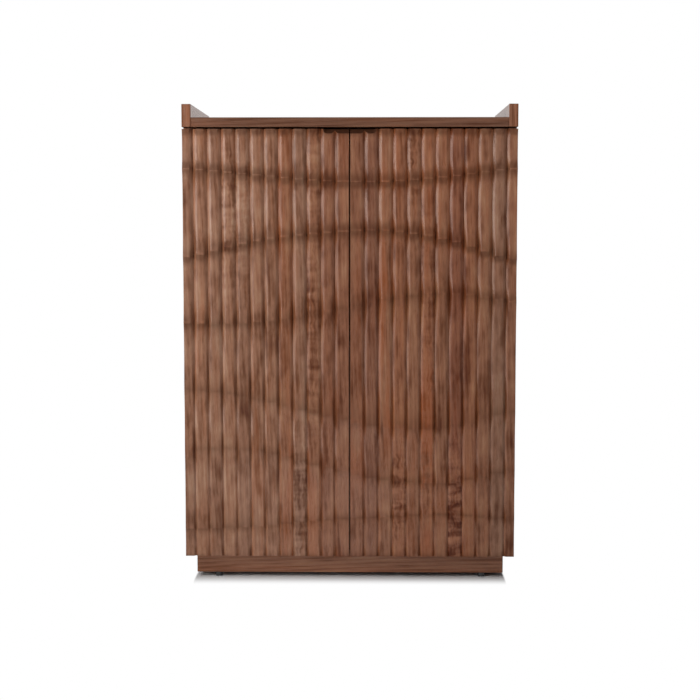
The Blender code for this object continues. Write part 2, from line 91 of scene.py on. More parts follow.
def stretch(tree, place, amounts):
    return put(tree, "ShaderNodeVectorMath", {0: place, 1: amounts}, operation="MULTIPLY").outputs[0]


def shift(tree, place, other):
    return put(tree, "ShaderNodeVectorMath", {0: place, 1: other}, operation="ADD").outputs[0]


def noise(tree, place, detail=2.0, roughness=0.5, output="Fac"):
    values = {"Vector": place, "Scale": 1.0, "Detail": detail, "Roughness": roughness}
    return put(tree, "ShaderNodeTexNoise", values).outputs[output]


def span(tree, value, low, high, lowest=0.0, highest=1.0, way="SMOOTHSTEP"):
    values = {"Value": value, "From Min": low, "From Max": high, "To Min": lowest, "To Max": highest}
    return put(tree, "ShaderNodeMapRange", values, interpolation_type=way).outputs["Result"]


def ramp(tree, value, stops):
    node = put(tree, "ShaderNodeValToRGB", {"Fac": value})
    while len(node.color_ramp.elements) < len(stops):
        node.color_ramp.elements.new(1.0)
    for element, (place, colour) in zip(node.color_ramp.elements, stops):
        element.position = place
        element.color = (*colour, 1.0)
    return node.outputs["Color"]


def newMaterial(name):
    material = bpy.data.materials.new(name)
    material.use_nodes = True
    material.node_tree.nodes.clear()
    return material, material.node_tree


def finishShader(tree, values):
    shader = put(tree, "ShaderNodeBsdfPrincipled", values)
    put(tree, "ShaderNodeOutputMaterial", {"Surface": shader.outputs[0]})


def addObject(name, data):
    thing = bpy.data.objects.new(name, data)
    bpy.context.scene.collection.objects.link(thing)
    return thing


# Walnut: rings round a leaning trunk, long colour streaks, fibre, pores, darker end grain, and painted shade
# along the carved crests

woodLook = {
    "ringSpacing": 0.0115,
    "ringDistortion": 3.4,
    "ringDetail": 2.0,
    "ringDetailScale": 1.2,
    "trunkLean": 0.045,      # sideways per metre of height, which draws the arches
    "trunkShare": 0.05,      # how much of the way along the trunk counts in its rings
    "wander": 0.018,         # how far the grain strays from straight, metres
    "snakeReach": 0.030,     # how far curly fibres swing sideways, metres
    # noise layers: repeats per metre across and along the fibres, detail and roughness
    "layers": {
        "wander": (11.0, 2.4, 2.0, 0.5),
        "snake": (30.0, 46.0, 1.0, 0.5),
        "streaks": (76.0, 2.6, 2.0, 0.5),
        "threads": (330.0, 7.0, 2.0, 0.6),
        "patches": (24.0, 4.6, 2.0, 0.5),
        "clouds": (42.0, 17.0, 2.0, 0.5),
        "bands": (16.0, 56.0, 1.5, 0.5),
        "embers": (52.0, 3.4, 2.0, 0.5),
        "fibre": (900.0, 16.0, 2.0, 0.6),
        "pores": (1500.0, 55.0, 1.0, 0.5),
    },
    "cloudsFrom": (1.7, 0.3, 2.9),   # taken elsewhere in the noise, so they don't follow the patches
    "embersFrom": (3.1, 1.7, 0.4),
    # what each layer of figure adds to the tone, in carved staves and in flat boards
    "staveShares": {"rings": 0.08, "streaks": 0.28, "threads": 0.12, "patches": 0.44, "clouds": 0.54},
    "boardShares": {"rings": 0.10, "streaks": 0.36, "threads": 0.32, "patches": 0.30, "clouds": 0.12},
    "curlShare": 0.90,       # of the bands that cross curly fibres, and the value that leaves the tone alone
    "curlMiddle": 0.54,
    # tones from dark to light: where each stands, and its colour
    "tones": (
        (0.26, (0.100, 0.028, 0.012)),
        (0.39, (0.166, 0.057, 0.024)),
        (0.50, (0.238, 0.088, 0.040)),
        (0.61, (0.290, 0.121, 0.058)),
        (0.74, (0.362, 0.170, 0.090)),
    ),
    "emberColour": (0.330, 0.098, 0.034),
    "emberMost": 0.30,
    "emberRange": (0.50, 0.72),    # of the ember noise, on any plank
    "ownEmberRange": (0.38, 0.62),   # the same on a stave that has embers of its own
    "fibreRange": (0.30, 0.72),    # of the fibre noise, and the tones that it gives
    "fibreTones": (0.94, 1.06),
    "poreRange": (0.60, 0.70),     # of the pore noise, where pores open
    "poreTone": 0.80,
    # colour of the darker end grain, and of the painted shade along the crests
    "endGrainAndShadeColour": (0.054, 0.021, 0.012),
    "poreDepth": 0.00018,
    "fibreHeight": 0.45,           # against a pore's depth
    "bumpStrength": 0.35,
    "poreOpenness": 0.4,           # against the fibre noise; open grain is duller
    "opennessRange": (0.35, 1.0),
    "roughness": (0.25, 0.38),
    "gloss": 0.42,
    "darkGloss": 0.16,             # dark streaks are open and shine less
    "glossTones": (0.30, 0.52),    # tones between which the gloss rises
    "flankGloss": 0.60,            # share of the gloss that is left on the grooves' sides
    "flankSlopes": (0.25, 0.80),
    "glossColour": (1.0, 0.95, 0.91, 1.0),   # amber lacquer
    # slopes across the fibres between which a cut darkens, and how much: shallow cuts by the crests, which
    # is painted shade, then sawn ends, whose open end grain is darker
    "endGrainAndShadeSlopes": (((0.06, 0.26), 0.48), ((0.45, 0.72), 0.38)),
    "endDullness": 0.30,
    "crestShadeShares": (0.05, 0.40),   # painted shade along the carved crests, least and most
    "crestShadeRange": (0.40, 0.60),    # of the clouds that break the painted shade up
}

# For each way that a board's fibres run: the turn that stands them up, and their direction
grainTurn = {"x": (0, math.pi / 2, 0), "y": (math.pi / 2, 0, 0), "z": (0, 0, 0)}
grainWay = {"x": (1, 0, 0), "y": (0, 1, 0), "z": (0, 0, 1)}


def layer(tree, wood, name, output="Fac"):
    across, along, detail, roughness = woodLook["layers"][name]
    return noise(tree, stretch(tree, wood, (across, across, along)), detail, roughness, output)


def sway(tree, wood, name, reach):
    # noise is centred on a half, so this swings both ways
    swing = shift(tree, layer(tree, wood, name, "Color"), (-0.5, -0.5, -0.5))
    return stretch(tree, swing, reach)


def walnut(name, grain="z", plank=(0.0, 0.0, 0.0), toneAndPaintedLight=1.0, carved=False):
    look = woodLook
    material, tree = newMaterial(name)
    place = put(tree, "ShaderNodeTexCoord").outputs["Object"]
    turned = {"Vector": place, "Location": plank, "Rotation": grainTurn[grain]}
    wood = put(tree, "ShaderNodeMapping", turned).outputs[0]

    def own(attribute, output="Fac"):
        return put(tree, "ShaderNodeAttribute", attribute_name=attribute).outputs[output]

    if carved:
        wood = shift(tree, wood, own("plank", "Vector"))
        ownCurl = own("curl")

    bent = shift(tree, wood, sway(tree, wood, "wander", (look["wander"],) * 3))
    if carved:
        # Curly figure: the fibres snake from side to side
        snake = sway(tree, wood, "snake", (look["snakeReach"], look["snakeReach"], 0.0))
        curls = put(tree, "ShaderNodeVectorMath", {0: snake, "Scale": ownCurl}, operation="SCALE")
        bent = shift(tree, bent, curls.outputs[0])
    apart = split(tree, bent)
    lean = calc(tree, "MULTIPLY", apart[2], look["trunkLean"])
    across = calc(tree, "ADD", apart[0], lean)
    along = calc(tree, "MULTIPLY", apart[2], look["trunkShare"])
    trunk = put(tree, "ShaderNodeCombineXYZ", {0: across, 1: apart[1], 2: along}).outputs[0]
    ringValues = {
        "Vector": trunk,
        "Scale": math.tau / 20 / look["ringSpacing"],   # at scale 1 the texture's rings are tau / 20 apart
        "Distortion": look["ringDistortion"],
        "Detail": look["ringDetail"],
        "Detail Scale": look["ringDetailScale"],
    }
    ringOptions = {"wave_type": "RINGS", "rings_direction": "Z", "wave_profile": "SIN"}
    rings = put(tree, "ShaderNodeTexWave", ringValues, **ringOptions).outputs["Fac"]

    figure = {
        "rings": rings,
        "streaks": layer(tree, bent, "streaks"),
        "threads": layer(tree, bent, "threads"),
        "patches": layer(tree, bent, "patches"),
        "clouds": layer(tree, shift(tree, bent, look["cloudsFrom"]), "clouds"),
    }
    tone = 0.5
    shares = look["staveShares" if carved else "boardShares"]
    for part, share in shares.items():
        centred = calc(tree, "SUBTRACT", figure[part], 0.5)
        tone = calc(tree, "MULTIPLY_ADD", centred, share, tone)
    if carved:
        bands = calc(tree, "SUBTRACT", layer(tree, bent, "bands"), look["curlMiddle"])
        bandTone = calc(tree, "MULTIPLY", bands, look["curlShare"])
        tone = calc(tree, "MULTIPLY_ADD", bandTone, ownCurl, tone)
    colour = ramp(tree, tone, look["tones"])

    embers = layer(tree, shift(tree, bent, look["embersFrom"]), "embers")
    emberShare = span(tree, embers, *look["emberRange"], 0.0, look["emberMost"])
    if carved:
        ownShare = span(tree, embers, *look["ownEmberRange"])
        emberShare = calc(tree, "MAXIMUM", emberShare, calc(tree, "MULTIPLY", ownShare, own("ember")))
    colour = blendColours(tree, emberShare, colour, (*look["emberColour"], 1.0))

    fibre = layer(tree, wood, "fibre")
    pores = span(tree, layer(tree, wood, "pores"), *look["poreRange"])
    fibreTone = span(tree, fibre, *look["fibreRange"], *look["fibreTones"], "LINEAR")
    poreTone = span(tree, pores, 0.0, 1.0, 1.0, look["poreTone"], "LINEAR")
    fine = calc(tree, "MULTIPLY", calc(tree, "MULTIPLY", fibreTone, poreTone), toneAndPaintedLight)
    fineColour = put(tree, "ShaderNodeCombineColor", {0: fine, 1: fine, 2: fine}).outputs[0]
    colour = blendColours(tree, 1.0, colour, fineColour, "MULTIPLY")
    if carved:
        colour = blendColours(tree, 1.0, colour, own("tint", "Color"), "MULTIPLY")

    # Where a cut crosses the fibres it is darkened: on sawn ends the open end grain drinks the finish, on
    # the shallow slopes by the crests this is painted shade
    facing = put(tree, "ShaderNodeNewGeometry").outputs["Normal"]
    ends = put(tree, "ShaderNodeVectorMath", {0: facing, 1: grainWay[grain]}, operation="DOT_PRODUCT")
    cut = calc(tree, "ABSOLUTE", ends.outputs["Value"])
    crestSlopeShade, sawn = [span(tree, cut, *slopes, 0.0, most) for slopes, most in look["endGrainAndShadeSlopes"]]
    endGrainAndShade = calc(tree, "ADD", crestSlopeShade, sawn)
    if carved:
        # painted shade along the carved crests, broken up by the clouds
        patchyShade = span(tree, figure["clouds"], *look["crestShadeRange"], *look["crestShadeShares"])
        endGrainAndShade = calc(tree, "MAXIMUM", endGrainAndShade, calc(tree, "MULTIPLY", own("crestShade"), patchyShade))
    colour = blendColours(tree, endGrainAndShade, colour, (*look["endGrainAndShadeColour"], 1.0))

    openness = calc(tree, "MULTIPLY_ADD", pores, look["poreOpenness"], fibre)
    dullness = span(tree, openness, *look["opennessRange"], *look["roughness"], "LINEAR")
    dullness = calc(tree, "MULTIPLY_ADD", endGrainAndShade, look["endDullness"], dullness)
    polish = span(tree, tone, *look["glossTones"], look["darkGloss"], look["gloss"])
    gloss = calc(tree, "MULTIPLY", calc(tree, "SUBTRACT", 1.0, endGrainAndShade), polish)
    if carved:
        # The polishing pad doesn't reach into the grooves
        flank = calc(tree, "ABSOLUTE", split(tree, facing)[0])
        flankShare = span(tree, flank, *look["flankSlopes"], 1.0, look["flankGloss"])
        gloss = calc(tree, "MULTIPLY", gloss, flankShare)
    height = calc(tree, "MULTIPLY_ADD", fibre, look["fibreHeight"], calc(tree, "MULTIPLY", pores, -1.0))
    bumpValues = {"Strength": look["bumpStrength"], "Distance": look["poreDepth"], "Height": height}
    bump = put(tree, "ShaderNodeBump", bumpValues)
    values = {
        "Base Color": colour,
        "Roughness": dullness,
        "Normal": bump.outputs[0],
        "Specular IOR Level": gloss,
        "Specular Tint": look["glossColour"],
    }
    finishShader(tree, values)
    return material


# Metal and plastic

steelLook = {
    "colour": (0.60, 0.585, 0.555),
    "cloudColour": (0.50, 0.485, 0.455),
    "clouds": (160.0, 160.0, 160.0),   # repeats per metre along x, y and z
    "cloudDetail": 3.0,
    "scuffs": (2600.0, 340.0, 2600.0),
    "scuffRange": (0.12, 0.42),
    "scuffDepth": 0.00004,
    "bumpStrength": 0.2,
    "roughness": (0.20, 0.38),
}


def nickelledSteel(name):
    look = steelLook
    material, tree = newMaterial(name)
    place = put(tree, "ShaderNodeTexCoord").outputs["Object"]
    cloud = noise(tree, stretch(tree, place, look["clouds"]), look["cloudDetail"])
    scuffs = noise(tree, stretch(tree, place, look["scuffs"]))
    colour = blendColours(tree, cloud, (*look["cloudColour"], 1.0), (*look["colour"], 1.0))
    dullness = span(tree, calc(tree, "MULTIPLY", cloud, scuffs), *look["scuffRange"], *look["roughness"])
    bumpValues = {"Strength": look["bumpStrength"], "Distance": look["scuffDepth"], "Height": scuffs}
    bump = put(tree, "ShaderNodeBump", bumpValues)
    values = {"Base Color": colour, "Metallic": 1.0, "Roughness": dullness, "Normal": bump.outputs[0]}
    finishShader(tree, values)
    return material


nylonLook = {
    "colour": (0.018, 0.018, 0.019),
    "wornColour": (0.045, 0.044, 0.043),
    "wear": (220.0, 220.0, 220.0),     # repeats per metre along x, y and z
    "wearDetail": 3.0,
    "wearRange": (0.45, 0.75),
    "pebbles": (1400.0, 1400.0, 1400.0),
    "pebbleRange": (0.3, 0.7),
    "pebbleDepth": 0.00008,
    "bumpStrength": 0.3,
    "roughness": (0.42, 0.62),
}


def blackNylon(name):
    look = nylonLook
    material, tree = newMaterial(name)
    place = put(tree, "ShaderNodeTexCoord").outputs["Object"]
    pebble = noise(tree, stretch(tree, place, look["pebbles"]))
    worn = noise(tree, stretch(tree, place, look["wear"]), look["wearDetail"])
    wear = span(tree, worn, *look["wearRange"])
    colour = blendColours(tree, wear, (*look["colour"], 1.0), (*look["wornColour"], 1.0))
    dullness = span(tree, pebble, *look["pebbleRange"], *look["roughness"])
    bumpValues = {"Strength": look["bumpStrength"], "Distance": look["pebbleDepth"], "Height": pebble}
    bump = put(tree, "ShaderNodeBump", bumpValues)
    finishShader(tree, {"Base Color": colour, "Roughness": dullness, "Normal": bump.outputs[0]})
    return material


# Camera at the photograph's view

cameraSettings = {
    "place": (0.057, -4.190, 0.991),
    "turn": (math.radians(85.0), 0.0, math.radians(0.81)),
    "lens": 74.4,
    "sensor": 36.0,
}

camera = addObject("camera", bpy.data.cameras.new("camera"))
camera.location = cameraSettings["place"]
camera.rotation_euler = cameraSettings["turn"]
camera.data.lens = cameraSettings["lens"]
camera.data.sensor_width = cameraSettings["sensor"]
bpy.context.scene.camera = camera
print("camera placed")


# Boards: the way their fibres run, where in the trunk they were cut, and a factor on their colour, which on
# some boards is painted light or shade

boards = {
    "left_side_panel": ("z", (0.62, 0.05, 0.3), 1.0),
    "right_side_panel": ("z", (-0.31, 0.11, 1.9), 1.0),
    "top_panel": ("x", (-1.20, 0.28, 0.7), 0.61),
    "bottom_panel": ("x", (-0.10, 0.14, 2.7), 1.0),
    "fixed_shelf": ("x", (-0.61, 0.09, 3.9), 1.0),
    "lower_divider": ("z", (0.05, 0.06, 5.1), 1.0),
    "back_panel": ("z", (0.02, -0.16, 6.3), 0.92),
    "left_door_panel": ("z", (0.27, 0.26, 7.7), 1.0),
    "right_door_panel": ("z", (-0.22, 0.25, 9.1), 1.0),
    # the plinth's front is lighter than the other plinth boards: painted light, for the light thrown up from
    # the white floor
    "plinth_front": ("x", (-0.02, 0.24, 4.4), 1.20),
    "plinth_back": ("x", (-0.03, -0.15, 5.4), 0.92),
    "plinth_left": ("y", (0.44, 0.02, 6.6), 0.92),
    "plinth_right": ("y", (-0.40, 0.03, 7.2), 0.92),
    # the stemware rails are darkened: painted shade, for the dim inside of the case
    "stemware_rail": ("y", (0.07, 1.18, 2.2), 0.60),
    "neck_rail": ("x", (-0.15, 0.10, 8.3), 1.05),
    "body_rail": ("x", (-0.20, -0.10, 9.6), 1.05),
}


def dressBoards():
    for start, (grain, plank, toneAndPaintedLight) in boards.items():
        wood = walnut(f"walnut_{start}", grain, plank, toneAndPaintedLight)
        for name, board in nodes.items():
            if name.startswith(start):
                for slot in board.material_slots:
                    slot.material = wood
    print("boards dressed")


def dressFittings():
    for name, fitting in nodes.items():
        finish = steel if "hinge" in name else nylon if "glide" in name else None
        if finish:
            for slot in fitting.material_slots:
                slot.material = finish
    print("hinges and glides dressed")


steel = nickelledSteel("nickelled_steel_finish")
nylon = blackNylon("black_nylon_finish")
dressBoards()
dressFittings()


# Shaping trees, and plain pieces made out of them

def shapingTree(name, asked, made):
    tree = bpy.data.node_groups.new(name, "GeometryNodeTree")
    for title, kind in asked.items():
        tree.interface.new_socket(name=title, in_out="INPUT", socket_type=f"NodeSocket{kind}")
    tree.interface.new_socket(name=made, in_out="OUTPUT", socket_type="NodeSocketGeometry")
    return tree, put(tree, "NodeGroupInput").outputs


def endTree(tree, geometry, finish):
    whole = put(tree, "GeometryNodeRealizeInstances", {"Geometry": geometry}).outputs[0]
    dressed = put(tree, "GeometryNodeSetMaterial", {"Geometry": whole, "Material": finish}).outputs[0]
    put(tree, "NodeGroupOutput", {0: dressed})


def stored(tree, name, kind="FLOAT"):
    return put(tree, "GeometryNodeInputNamedAttribute", {"Name": name}, data_type=kind).outputs[0]


def runTree(host, tree, values):
    modifier = host.modifiers.new(tree.name, "NODES")
    modifier.node_group = tree
    for item in tree.interface.items_tree:
        if item.name in values:
            modifier[item.identifier] = values[item.name]


smoothBelow = math.radians(34)   # faces that meet at less than this are shaded as one


def settle(host, name, body, smoothAngle=smoothBelow):
    graph = bpy.context.evaluated_depsgraph_get()
    shaped = host.evaluated_get(graph)
    mesh = bpy.data.meshes.new_from_object(shaped, preserve_all_data_layers=True, depsgraph=graph)
    mesh.name = name
    mesh.shade_smooth()
    mesh.set_sharp_from_angle(angle=smoothAngle)
    piece = addObject(name, mesh)
    bpy.data.objects.remove(host, do_unlink=True)
    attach(piece, body)
    return piece


def pointHost(name, points, fields):
    mesh = bpy.data.meshes.new(name)
    mesh.from_pydata(points, [], [])
    for field, (kind, values) in fields.items():
        attribute = mesh.attributes.new(field, kind, "POINT")
        for item, value in zip(attribute.data, values):
            if kind == "FLOAT":
                item.value = value
            else:
                item.vector = value
    return addObject(name, mesh)


def makeCutter(name, shape, wood):
    mesh = bpy.data.meshes.new(name)
    shape.to_mesh(mesh)
    shape.free()
    mesh.materials.append(wood)
    return addObject(name, mesh)


def cutAway(host, cutter, name):
    cut = host.modifiers.new(name, "BOOLEAN")
    cut.operation = "DIFFERENCE"
    cut.solver = "EXACT"
    cut.object = cutter
    return cut


# Carved staves

carving = {
    # heights of the six crest lines at six equal steps across the front, shares of the door's height
    "crestShares": (
        (0.910, 0.896, 0.882, 0.879, 0.891, 0.910),
        (0.704, 0.740, 0.760, 0.767, 0.744, 0.699),
        (0.552, 0.554, 0.575, 0.606, 0.620, 0.601),
        (0.398, 0.379, 0.340, 0.309, 0.309, 0.347),
        (0.253, 0.254, 0.218, 0.185, 0.178, 0.206),
        (0.066, 0.071, 0.087, 0.095, 0.101, 0.090),
    ),
    # how far the crests rise, from the top edge down, shares of the relief
    "crestRise": (1.0, 1.0, 1.0, 0.90, 0.62, 0.52, 0.50, 0.45),
    "hollowBottomShare": 0.45,
    # what the shaping tree asks for by name, in metres or shares
    "sizes": {
        "Relief": 0.0072,            # how far a full crest stands above the hollows
        "Hollow power": 4.0,         # a full crest's; lower crests are rounder, down to the least power
        "Least power": 1.7,
        "Crest shade power": 7.0,          # how narrow the painted shade along the crests is
        "Crest ease": 0.04,          # rounding of each crest, share of half a hollow
        "Groove depth": 0.0127,
        "Groove bevel": 0.0083,
        "Square ease": 0.0010,       # bevel of an edge without a groove
        "Softness": 0.0050,          # of the arris between bevel and face
        "Least softness": 0.0002,
        "Low rise": 0.5,             # crests that rise this little have narrower, crisper, shallower bevels
        "Low bevel": 0.70,
        "Low softness": 0.14,
        "Low groove": 0.76,
        "Column spread": 0.1433,     # of the columns nearest the arris, and how it grows away from it
        "Column growth": 0.00667,
    },
    "rowsPerHollow": 18,
    "columns": 17,
    "stavesPerDoor": 12,
    "plankSpread": (0.10, 0.10, 9.0),   # how far either way in the trunk a stave is cut
    "seeds": {"left": 4, "right": 11},
    "pullWidth": 0.144,
    "pullDepth": 0.017,      # of the scoop's lip below the door's top, at the front
    "pullSlope": 1.05,       # rise of the scoop for each metre inward
    "pullCorner": 0.011,
    "pullCornerSteps": 8,
    "pullHeight": 3,         # of the cutter, and its reach either way from the front, in pull depths
    "pullReach": 2,
    "pullPlank": (0.11, 0.07, 3.3),
    # the scoop's wood is darkened to this share: painted shade inside the finger pull
    "pullPaintedShade": 0.45,
}

staveWood = {
    # planks that the staves were sawn from, as red, green and blue against plain walnut
    "tints": {
        "pale": (1.11, 1.30, 1.53),
        "grey": (1.02, 1.21, 1.46),
        "plain": (1.0, 1.0, 1.0),
        "umber": (0.93, 0.89, 0.89),
        "dark": (0.82, 0.76, 0.77),
        "warm": (1.04, 0.95, 0.86),
        "red": (0.86, 0.70, 0.62),
    },
    # from the outer stave to the meeting edge
    "left": "grey pale grey pale grey pale pale plain grey plain umber umber".split(),
    "right": "plain grey plain warm red plain warm plain warm plain dark umber".split(),
    # figure in single staves: door, stave, first and last crest from the top edge down, and strength
    "curl": (
        ("right", 5, 5, 8, 1.3), ("right", 9, 5, 6, 0.7), ("right", 7, 2, 6, 0.35), ("right", 8, 0, 1, 0.5),
        ("left", 10, 0, 4, 0.45), ("left", 4, 1, 2, 0.5), ("left", 9, 5, 7, 0.5), ("left", 5, 1, 2, 0.5),
    ),
    "ember": (
        ("right", 10, 1, 4, 0.65), ("right", 7, 4, 7, 0.65), ("right", 6, 0, 2, 0.35),
        ("right", 12, 4, 5, 0.40), ("left", 8, 0, 2, 0.35), ("left", 8, 5, 8, 0.50),
        ("left", 10, 5, 7, 0.40), ("left", 9, 2, 3, 0.35), ("left", 2, 0, 0, 0.45), ("left", 6, 5, 7, 0.30),
    ),
}


def figureAt(figure, side, stave, crest):
    # the strongest that is asked for there
    found = [strength for door, number, first, last, strength in staveWood[figure]
             if door == side and number == stave and first <= crest <= last]
    return max(found, default=0.0)


def crestHeight(shares, across):
    # a smooth line through the heights, read this far across the front
    place = across * (len(shares) - 1)
    index = min(int(place), len(shares) - 2)
    t = place - index
    before = shares[max(index - 1, 0)]
    a, b = shares[index], shares[index + 1]
    after = shares[min(index + 2, len(shares) - 1)]
    slope = b - before
    bow = 2 * before - 5 * a + 4 * b - after
    twist = 3 * (a - b) + after - before
    return a + (slope * t + bow * t**2 + twist * t**3) / 2


def staveGuide(side):
    # a point on each crest of each stave, its two ends included, with what the tree needs to know there
    points, fields = [], {}
    for field in ("halfWidth", "grooveLeft", "grooveRight", "rise", "curl", "ember"):
        fields[field] = ("FLOAT", [])
    fields["tint"] = ("FLOAT_VECTOR", [])
    bottom, top = [corner.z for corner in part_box(f"{side}_stave_02")]
    count = carving["stavesPerDoor"]
    for number in range(1, count + 1):
        low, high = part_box(f"{side}_stave_{number:02d}")
        centre = (low.x + high.x) / 2
        across = (centre - cadBox[0].x) / (cadBox[1].x - cadBox[0].x)
        heights = [1.0] + [crestHeight(shares, across) for shares in carving["crestShares"]] + [0.0]
        innerGroove, outerGroove = float(number < count), float(number > 1)
        grooves = (outerGroove, innerGroove) if side == "left" else (innerGroove, outerGroove)
        for crest, (height, rise) in enumerate(zip(heights, carving["crestRise"])):
            points.append((centre, 0.0, bottom + height * (top - bottom)))
            fields["halfWidth"][1].append((high.x - low.x) / 2)
            fields["grooveLeft"][1].append(grooves[0])
            fields["grooveRight"][1].append(grooves[1])
            fields["rise"][1].append(rise)
            fields["tint"][1].append(staveWood["tints"][staveWood[side][number - 1]])
            for figure in ("curl", "ember"):
                fields[figure][1].append(figureAt(figure, side, number, crest))
    return pointHost(f"{side}Guide", points, fields)


def carveTree():
    asked = {"Guide": "Geometry", "Staves": "Int", "Rows": "Int", "Columns": "Int", "Front": "Float"}
    asked.update({"Back": "Float", "Hollow skew": "Float", "Seed": "Int", "Wood": "Material"})
    asked.update(dict.fromkeys(carving["sizes"], "Float"))
    tree, given = shapingTree("carveStaves", asked, "Staves cut")
    crests = len(carving["crestRise"])
    hollows = crests - 1

    def fromGuide(value, index, kind="FLOAT"):
        inputs = {"Geometry": given["Guide"], "Index": index}
        node = put(tree, "GeometryNodeSampleIndex", inputs, data_type=kind)
        tree.links.new(value, node.inputs["Value"])
        return node.outputs["Value"]

    def store(geometry, name, kind, domain, value):
        inputs = {"Geometry": geometry, "Name": name}
        node = put(tree, "GeometryNodeStoreNamedAttribute", inputs, data_type=kind, domain=domain)
        tree.links.new(value, node.inputs["Value"])
        return node.outputs["Geometry"]

    # One blank of unit size, repeated for each stave
    rowPoints = calc(tree, "MULTIPLY_ADD", given["Rows"], hollows, 1.0)
    blankCounts = {"Vertices X": given["Columns"], "Vertices Y": 2, "Vertices Z": rowPoints}
    blank = put(tree, "GeometryNodeMeshCube", {"Size": (1.0, 1.0, 1.0), **blankCounts}).outputs["Mesh"]
    spots = put(tree, "GeometryNodePoints", {"Count": given["Staves"]}).outputs[0]
    blanks = put(tree, "GeometryNodeInstanceOnPoints", {"Points": spots, "Instance": blank}).outputs[0]
    number = put(tree, "GeometryNodeInputIndex").outputs[0]
    blanks = store(blanks, "stave", "INT", "INSTANCE", number)
    stock = put(tree, "GeometryNodeRealizeInstances", {"Geometry": blanks}).outputs[0]

    # Where each point lies in its blank; the hair keeps a row on a crest out of the hollow above
    hair = 0.00001
    spot = split(tree, put(tree, "GeometryNodeInputPosition").outputs[0])
    sideways = calc(tree, "ADD", spot[0], 0.5)
    down = calc(tree, "MULTIPLY", calc(tree, "SUBTRACT", 0.5, spot[2]), hollows)
    row = calc(tree, "FLOOR", calc(tree, "ADD", down, hair))
    row = calc(tree, "MINIMUM", row, hollows - 1)
    within = calc(tree, "MAXIMUM", calc(tree, "SUBTRACT", down, row), 0.0)
    eased = calc(tree, "MULTIPLY", calc(tree, "COSINE", calc(tree, "MULTIPLY", within, math.pi)), -0.5)
    eased = calc(tree, "ADD", eased, 0.5)

    # What the guide says about this stave and this hollow
    stave = stored(tree, "stave", "INT")
    first = calc(tree, "MULTIPLY", stave, crests)
    upperIndex = calc(tree, "ADD", first, row)
    lowerIndex = calc(tree, "ADD", upperIndex, 1.0)
    guidePlace = put(tree, "GeometryNodeInputPosition").outputs[0]
    upper = split(tree, fromGuide(guidePlace, upperIndex, "FLOAT_VECTOR"))
    lower = split(tree, fromGuide(guidePlace, lowerIndex, "FLOAT_VECTOR"))
    height = blendNumbers(tree, eased, upper[2], lower[2])

    def betweenCrests(name):
        ends = [fromGuide(stored(tree, name), index) for index in (upperIndex, lowerIndex)]
        return blendNumbers(tree, eased, *ends)

    rise = betweenCrests("rise")
    halfWidth = fromGuide(stored(tree, "halfWidth"), first)
    grooveLeft = fromGuide(stored(tree, "grooveLeft"), first)
    grooveRight = fromGuide(stored(tree, "grooveRight"), first)

    def lessLowDown(share):
        return span(tree, rise, given["Low rise"], 1.0, share, 1.0)

    # Columns crowd round the arris between bevel and face
    steps = calc(tree, "SUBTRACT", given["Columns"], 1.0)
    column = calc(tree, "ROUND", calc(tree, "MULTIPLY", sideways, steps))
    fromLeft = calc(tree, "LESS_THAN", sideways, 0.5)
    near = calc(tree, "MINIMUM", column, calc(tree, "SUBTRACT", steps, column))
    middle = calc(tree, "DIVIDE", steps, 2.0)
    offArris = calc(tree, "SUBTRACT", near, calc(tree, "DIVIDE", steps, 4.0))
    offSquared = calc(tree, "MULTIPLY", offArris, offArris)
    crowd = calc(tree, "MULTIPLY_ADD", offSquared, given["Column growth"], given["Column spread"])
    bevelsIn = calc(tree, "MULTIPLY_ADD", crowd, offArris, 1.0)
    groove = blendNumbers(tree, fromLeft, grooveRight, grooveLeft)
    narrowed = calc(tree, "MULTIPLY", given["Groove bevel"], lessLowDown(given["Low bevel"]))
    bevelWidth = blendNumbers(tree, groove, given["Square ease"], narrowed)
    fromEdge = calc(tree, "MULTIPLY", bevelsIn, bevelWidth)
    isMiddle = calc(tree, "COMPARE", near, middle, 0.5)
    fromEdge = blendNumbers(tree, isMiddle, fromEdge, halfWidth)
    toward = calc(tree, "MULTIPLY_ADD", fromLeft, -2.0, 1.0)
    sidePlace = calc(tree, "MULTIPLY", toward, calc(tree, "SUBTRACT", halfWidth, fromEdge))
    placeX = calc(tree, "ADD", upper[0], sidePlace)

    # The hollow, which runs from crest to crest with both of them rounded
    skewed = calc(tree, "POWER", eased, given["Hollow skew"])
    crest = calc(tree, "ABSOLUTE", calc(tree, "MULTIPLY_ADD", skewed, 2.0, -1.0))
    drop = calc(tree, "POWER", calc(tree, "SUBTRACT", 1.0, crest), 2.0)
    drop = calc(tree, "ADD", drop, calc(tree, "POWER", given["Crest ease"], 2.0))
    crest = calc(tree, "SUBTRACT", calc(tree, "ADD", given["Crest ease"], 1.0), calc(tree, "SQRT", drop))
    # a share that peaks on each crest, where painted shade is laid along it
    crestShade = calc(tree, "POWER", crest, given["Crest shade power"])
    power = calc(tree, "MULTIPLY", calc(tree, "MULTIPLY", rise, rise), given["Hollow power"])
    power = calc(tree, "MAXIMUM", power, given["Least power"])
    crest = calc(tree, "MULTIPLY", calc(tree, "POWER", crest, power), rise)
    depth = calc(tree, "MULTIPLY", calc(tree, "SUBTRACT", 1.0, crest), given["Relief"])
    face = calc(tree, "ADD", given["Front"], depth)

